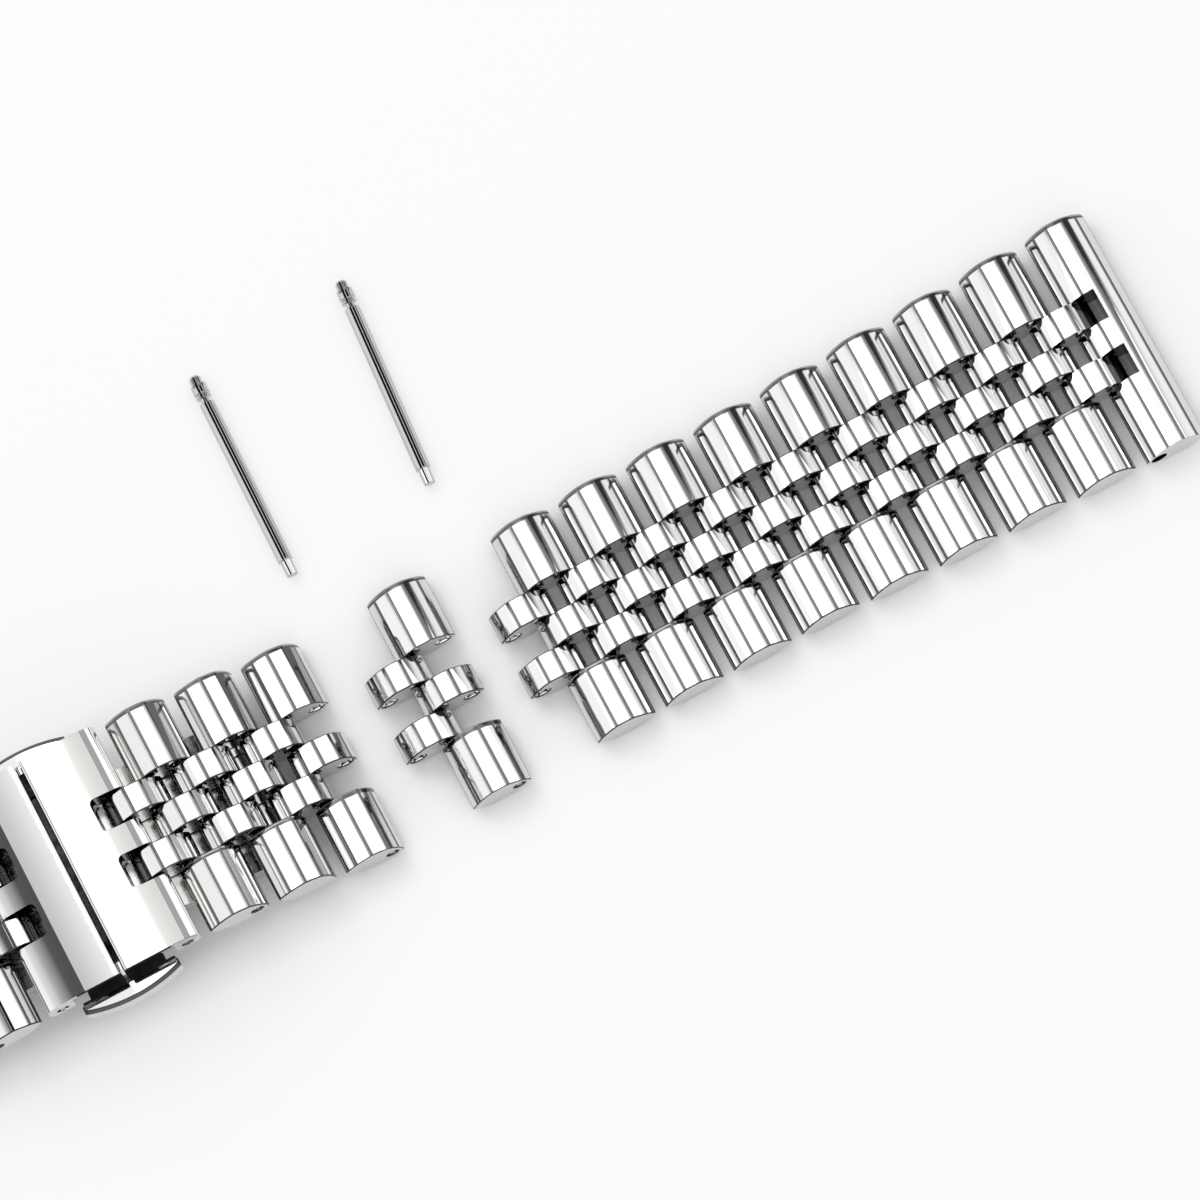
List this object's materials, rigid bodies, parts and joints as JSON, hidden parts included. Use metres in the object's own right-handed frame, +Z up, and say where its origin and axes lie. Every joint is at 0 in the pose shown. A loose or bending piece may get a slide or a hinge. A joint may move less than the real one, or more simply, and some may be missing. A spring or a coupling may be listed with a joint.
{
  "type": "link watch bracelet",
  "caption": "Five-row steel link bracelet for a wristwatch, with a butterfly clasp worked by two side buttons, laid flat with one link unit taken out and its spring pins beside it.",
  "frame": {"origin": "centre of the spring bar bore in the long side's end link, half way along that bore", "axes": "+X along the laid-out band, from the clasp to the long side's end link and beyond; +Y along the spring bar bore and every pin; +Z up, from the face on the wrist to the polished face"},
  "size_m": [0.1436, 0.0439, 0.0081],
  "materials": {
    "polished_steel": "polished",
    "satin_steel": "satin",
    "spring_steel": "satin"
  },
  "bodies": {
    "clasp_base": {"clasp_base": "satin_steel", "catch_housing": "satin_steel", "clasp_hinge_pins": "satin_steel", "button_spring_rear": "spring_steel", "button_spring_front": "spring_steel"},
    "arm_long": {"clasp_arm_long": "satin_steel", "clasp_cover_long": "polished_steel"},
    "arm_short": {"clasp_arm_short": "satin_steel", "clasp_cover_short": "polished_steel"},
    "button_rear": {"push_button_rear": "polished_steel"},
    "button_front": {"push_button_front": "polished_steel"},
    "long_inner_pair_01": {"long_inner_pair_01": "polished_steel"},
    "long_outer_trio_01": {"long_outer_trio_01": "polished_steel"},
    "long_inner_pair_02": {"long_inner_pair_02": "polished_steel"},
    "long_outer_trio_02": {"long_outer_trio_02": "polished_steel"},
    "long_inner_pair_03": {"long_inner_pair_03": "polished_steel"},
    "long_outer_trio_03": {"long_outer_trio_03": "polished_steel"},
    "long_inner_pair_04": {"long_inner_pair_04": "polished_steel"},
    "long_outer_trio_04": {"long_outer_trio_04": "polished_steel"},
    "long_inner_pair_05": {"long_inner_pair_05": "polished_steel"},
    "long_outer_trio_05": {"long_outer_trio_05": "polished_steel"},
    "long_inner_pair_06": {"long_inner_pair_06": "polished_steel"},
    "long_outer_trio_06": {"long_outer_trio_06": "polished_steel"},
    "long_inner_pair_07": {"long_inner_pair_07": "polished_steel"},
    "long_outer_trio_07": {"long_outer_trio_07": "polished_steel"},
    "long_inner_pair_08": {"long_inner_pair_08": "polished_steel"},
    "long_outer_trio_08": {"long_outer_trio_08": "polished_steel"},
    "long_inner_pair_09": {"long_inner_pair_09": "polished_steel"},
    "long_outer_trio_09": {"long_outer_trio_09": "polished_steel"},
    "long_inner_pair_10": {"long_inner_pair_10": "polished_steel"},
    "long_outer_trio_10": {"long_outer_trio_10": "polished_steel"},
    "long_inner_pair_11": {"long_inner_pair_11": "polished_steel"},
    "long_outer_trio_11": {"long_outer_trio_11": "polished_steel"},
    "long_inner_pair_12": {"long_inner_pair_12": "polished_steel"},
    "long_outer_trio_12": {"long_outer_trio_12": "polished_steel"},
    "long_inner_pair_13": {"long_inner_pair_13": "polished_steel"},
    "long_end_link": {"long_end_link": "polished_steel"},
    "short_inner_pair_01": {"short_inner_pair_01": "polished_steel"},
    "short_outer_trio_01": {"short_outer_trio_01": "polished_steel"},
    "short_inner_pair_02": {"short_inner_pair_02": "polished_steel"},
    "short_outer_trio_02": {"short_outer_trio_02": "polished_steel"},
    "short_inner_pair_03": {"short_inner_pair_03": "polished_steel"},
    "short_outer_trio_03": {"short_outer_trio_03": "polished_steel"},
    "short_inner_pair_04": {"short_inner_pair_04": "polished_steel"},
    "short_outer_trio_04": {"short_outer_trio_04": "polished_steel"},
    "short_inner_pair_05": {"short_inner_pair_05": "polished_steel"},
    "short_outer_trio_05": {"short_outer_trio_05": "polished_steel"},
    "short_inner_pair_06": {"short_inner_pair_06": "polished_steel"},
    "short_outer_trio_06": {"short_outer_trio_06": "polished_steel"},
    "short_inner_pair_07": {"short_inner_pair_07": "polished_steel"},
    "short_outer_trio_07": {"short_outer_trio_07": "polished_steel"},
    "short_inner_pair_08": {"short_inner_pair_08": "polished_steel"},
    "short_end_link": {"short_end_link": "polished_steel"},
    "loose_pin_1": {"loose_pin_tube_1": "polished_steel", "loose_pin_spring_1": "spring_steel"},
    "loose_pin_1_tip": {"loose_pin_plunger_1": "polished_steel"},
    "loose_pin_2": {"loose_pin_tube_2": "polished_steel", "loose_pin_spring_2": "spring_steel"},
    "loose_pin_2_tip": {"loose_pin_plunger_2": "polished_steel"}
  },
  "joints": [
    {"name": "arm_long_hinge", "type": "hinge", "parent": "clasp_base", "child": "arm_long", "pos_m": [-0.07273, 0, -0.00025], "axis": [0, 1, 0], "range_deg": [0, 120]},
    {"name": "arm_short_hinge", "type": "hinge", "parent": "clasp_base", "child": "arm_short", "pos_m": [-0.10194, 0, -0.00025], "axis": [0, 1, 0], "range_deg": [-120, 0]},
    {"name": "button_rear_press", "type": "slide", "parent": "clasp_base", "child": "button_rear", "axis": [0, -1, 0], "range_m": [0, 0.0006], "stiffness_N_per_m": 2000, "springref_m": -0.0005, "deforming": ["button_spring_rear"]},
    {"name": "button_front_press", "type": "slide", "parent": "clasp_base", "child": "button_front", "axis": [0, 1, 0], "range_m": [0, 0.0006], "stiffness_N_per_m": 2000, "springref_m": -0.0005, "deforming": ["button_spring_front"]},
    {"name": "long_inner_pair_01_hinge", "type": "hinge", "parent": "arm_long", "child": "long_inner_pair_01", "pos_m": [-0.08204, 0, 0.00494], "axis": [0, -1, 0], "range_deg": [0, 20]},
    {"name": "long_outer_trio_01_hinge", "type": "hinge", "parent": "long_inner_pair_01", "child": "long_outer_trio_01", "pos_m": [-0.07914, 0, 0.00453], "axis": [0, -1, 0], "range_deg": [0, 20]},
    {"name": "long_inner_pair_02_hinge", "type": "hinge", "parent": "long_outer_trio_01", "child": "long_inner_pair_02", "pos_m": [-0.07629, 0, 0.00392], "axis": [0, -1, 0], "range_deg": [0, 20]},
    {"name": "long_outer_trio_02_hinge", "type": "hinge", "parent": "long_inner_pair_02", "child": "long_outer_trio_02", "pos_m": [-0.07353, 0, 0.00297], "axis": [0, -1, 0], "range_deg": [0, 20]},
    {"name": "long_inner_pair_03_hinge", "type": "hinge", "parent": "long_outer_trio_02", "child": "long_inner_pair_03", "pos_m": [-0.07084, 0, 0.00183], "axis": [0, -1, 0], "range_deg": [-30, 30]},
    {"name": "long_outer_trio_03_hinge", "type": "hinge", "parent": "long_inner_pair_03", "child": "long_outer_trio_03", "pos_m": [-0.06815, 0, 0.00069], "axis": [0, 1, 0], "range_deg": [-30, 30]},
    {"name": "long_inner_pair_04_refit", "type": "slide", "parent": "clasp_base", "child": "long_inner_pair_04", "axis": [1, 0, 0], "range_m": [-0.00507, 0]},
    {"name": "long_outer_trio_04_hinge", "type": "hinge", "parent": "long_inner_pair_04", "child": "long_outer_trio_04", "pos_m": [-0.0574, 0, 0], "axis": [0, -1, 0], "range_deg": [-30, 30]},
    {"name": "long_inner_pair_05_refit", "type": "slide", "parent": "long_inner_pair_04", "child": "long_inner_pair_05", "axis": [1, 0, 0], "range_m": [-0.00484, 0]},
    {"name": "long_outer_trio_05_hinge", "type": "hinge", "parent": "long_inner_pair_05", "child": "long_outer_trio_05", "pos_m": [-0.04672, 0, 0], "axis": [0, 1, 0], "range_deg": [-30, 30]},
    {"name": "long_inner_pair_06_hinge", "type": "hinge", "parent": "long_outer_trio_05", "child": "long_inner_pair_06", "pos_m": [-0.0438, 0, 0], "axis": [0, -1, 0], "range_deg": [-30, 30]},
    {"name": "long_outer_trio_06_hinge", "type": "hinge", "parent": "long_inner_pair_06", "child": "long_outer_trio_06", "pos_m": [-0.04088, 0, 0], "axis": [0, 1, 0], "range_deg": [-30, 30]},
    {"name": "long_inner_pair_07_hinge", "type": "hinge", "parent": "long_outer_trio_06", "child": "long_inner_pair_07", "pos_m": [-0.03796, 0, 0], "axis": [0, -1, 0], "range_deg": [-30, 30]},
    {"name": "long_outer_trio_07_hinge", "type": "hinge", "parent": "long_inner_pair_07", "child": "long_outer_trio_07", "pos_m": [-0.03504, 0, 0], "axis": [0, 1, 0], "range_deg": [-30, 30]},
    {"name": "long_inner_pair_08_hinge", "type": "hinge", "parent": "long_outer_trio_07", "child": "long_inner_pair_08", "pos_m": [-0.03212, 0, 0], "axis": [0, -1, 0], "range_deg": [-30, 30]},
    {"name": "long_outer_trio_08_hinge", "type": "hinge", "parent": "long_inner_pair_08", "child": "long_outer_trio_08", "pos_m": [-0.0292, 0, 0], "axis": [0, 1, 0], "range_deg": [-30, 30]},
    {"name": "long_inner_pair_09_hinge", "type": "hinge", "parent": "long_outer_trio_08", "child": "long_inner_pair_09", "pos_m": [-0.02628, 0, 0], "axis": [0, -1, 0], "range_deg": [-30, 30]},
    {"name": "long_outer_trio_09_hinge", "type": "hinge", "parent": "long_inner_pair_09", "child": "long_outer_trio_09", "pos_m": [-0.02336, 0, 0], "axis": [0, 1, 0], "range_deg": [-30, 30]},
    {"name": "long_inner_pair_10_hinge", "type": "hinge", "parent": "long_outer_trio_09", "child": "long_inner_pair_10", "pos_m": [-0.02044, 0, 0], "axis": [0, -1, 0], "range_deg": [-30, 30]},
    {"name": "long_outer_trio_10_hinge", "type": "hinge", "parent": "long_inner_pair_10", "child": "long_outer_trio_10", "pos_m": [-0.01752, 0, 0], "axis": [0, 1, 0], "range_deg": [-30, 30]},
    {"name": "long_inner_pair_11_hinge", "type": "hinge", "parent": "long_outer_trio_10", "child": "long_inner_pair_11", "pos_m": [-0.0146, 0, 0], "axis": [0, -1, 0], "range_deg": [-30, 30]},
    {"name": "long_outer_trio_11_hinge", "type": "hinge", "parent": "long_inner_pair_11", "child": "long_outer_trio_11", "pos_m": [-0.01168, 0, 0], "axis": [0, 1, 0], "range_deg": [-30, 30]},
    {"name": "long_inner_pair_12_hinge", "type": "hinge", "parent": "long_outer_trio_11", "child": "long_inner_pair_12", "pos_m": [-0.00876, 0, 0], "axis": [0, -1, 0], "range_deg": [-30, 30]},
    {"name": "long_outer_trio_12_hinge", "type": "hinge", "parent": "long_inner_pair_12", "child": "long_outer_trio_12", "pos_m": [-0.00584, 0, 0], "axis": [0, 1, 0], "range_deg": [-30, 30]},
    {"name": "long_inner_pair_13_hinge", "type": "hinge", "parent": "long_outer_trio_12", "child": "long_inner_pair_13", "pos_m": [-0.00292, 0, 0], "axis": [0, -1, 0], "range_deg": [-30, 30]},
    {"name": "long_end_link_hinge", "type": "hinge", "parent": "long_inner_pair_13", "child": "long_end_link", "pos_m": [0, 0, 0], "axis": [0, 1, 0], "range_deg": [-30, 30]},
    {"name": "short_inner_pair_01_hinge", "type": "hinge", "parent": "arm_short", "child": "short_inner_pair_01", "pos_m": [-0.09264, 0, 0.00494], "axis": [0, 1, 0], "range_deg": [0, 20]},
    {"name": "short_outer_trio_01_hinge", "type": "hinge", "parent": "short_inner_pair_01", "child": "short_outer_trio_01", "pos_m": [-0.09553, 0, 0.00453], "axis": [0, 1, 0], "range_deg": [0, 20]},
    {"name": "short_inner_pair_02_hinge", "type": "hinge", "parent": "short_outer_trio_01", "child": "short_inner_pair_02", "pos_m": [-0.09838, 0, 0.00392], "axis": [0, 1, 0], "range_deg": [0, 20]},
    {"name": "short_outer_trio_02_hinge", "type": "hinge", "parent": "short_inner_pair_02", "child": "short_outer_trio_02", "pos_m": [-0.10114, 0, 0.00297], "axis": [0, 1, 0], "range_deg": [0, 20]},
    {"name": "short_inner_pair_03_hinge", "type": "hinge", "parent": "short_outer_trio_02", "child": "short_inner_pair_03", "pos_m": [-0.10383, 0, 0.00183], "axis": [0, 1, 0], "range_deg": [-30, 30]},
    {"name": "short_outer_trio_03_hinge", "type": "hinge", "parent": "short_inner_pair_03", "child": "short_outer_trio_03", "pos_m": [-0.10652, 0, 0.00069], "axis": [0, -1, 0], "range_deg": [-30, 30]},
    {"name": "short_inner_pair_04_hinge", "type": "hinge", "parent": "short_outer_trio_03", "child": "short_inner_pair_04", "pos_m": [-0.10936, 0, 0], "axis": [0, 1, 0], "range_deg": [-30, 30]},
    {"name": "short_outer_trio_04_hinge", "type": "hinge", "parent": "short_inner_pair_04", "child": "short_outer_trio_04", "pos_m": [-0.11228, 0, 0], "axis": [0, -1, 0], "range_deg": [-30, 30]},
    {"name": "short_inner_pair_05_hinge", "type": "hinge", "parent": "short_outer_trio_04", "child": "short_inner_pair_05", "pos_m": [-0.1152, 0, 0], "axis": [0, 1, 0], "range_deg": [-30, 30]},
    {"name": "short_outer_trio_05_hinge", "type": "hinge", "parent": "short_inner_pair_05", "child": "short_outer_trio_05", "pos_m": [-0.11812, 0, 0], "axis": [0, -1, 0], "range_deg": [-30, 30]},
    {"name": "short_inner_pair_06_hinge", "type": "hinge", "parent": "short_outer_trio_05", "child": "short_inner_pair_06", "pos_m": [-0.12104, 0, 0], "axis": [0, 1, 0], "range_deg": [-30, 30]},
    {"name": "short_outer_trio_06_hinge", "type": "hinge", "parent": "short_inner_pair_06", "child": "short_outer_trio_06", "pos_m": [-0.12396, 0, 0], "axis": [0, -1, 0], "range_deg": [-30, 30]},
    {"name": "short_inner_pair_07_hinge", "type": "hinge", "parent": "short_outer_trio_06", "child": "short_inner_pair_07", "pos_m": [-0.12688, 0, 0], "axis": [0, 1, 0], "range_deg": [-30, 30]},
    {"name": "short_outer_trio_07_hinge", "type": "hinge", "parent": "short_inner_pair_07", "child": "short_outer_trio_07", "pos_m": [-0.1298, 0, 0], "axis": [0, -1, 0], "range_deg": [-30, 30]},
    {"name": "short_inner_pair_08_hinge", "type": "hinge", "parent": "short_outer_trio_07", "child": "short_inner_pair_08", "pos_m": [-0.13272, 0, 0], "axis": [0, 1, 0], "range_deg": [-30, 30]},
    {"name": "short_end_link_hinge", "type": "hinge", "parent": "short_inner_pair_08", "child": "short_end_link", "pos_m": [-0.13564, 0, 0], "axis": [0, -1, 0], "range_deg": [-30, 30]},
    {"name": "loose_pin_1_lift", "type": "slide", "parent": "clasp_base", "child": "loose_pin_1", "axis": [0, 0, 1], "range_m": [0, 0.015]},
    {"name": "loose_pin_1_tip_press", "type": "slide", "parent": "loose_pin_1", "child": "loose_pin_1_tip", "axis": [-0.0192, -0.9998, 0], "range_m": [0, 0.0004], "stiffness_N_per_m": 1500, "springref_m": -0.0005, "deforming": ["loose_pin_spring_1"]},
    {"name": "loose_pin_2_lift", "type": "slide", "parent": "clasp_base", "child": "loose_pin_2", "axis": [0, 0, 1], "range_m": [0, 0.015]},
    {"name": "loose_pin_2_tip_press", "type": "slide", "parent": "loose_pin_2", "child": "loose_pin_2_tip", "axis": [-0.068, -0.9977, 0], "range_m": [0, 0.0004], "stiffness_N_per_m": 1500, "springref_m": -0.0005, "deforming": ["loose_pin_spring_2"]}
  ]
}
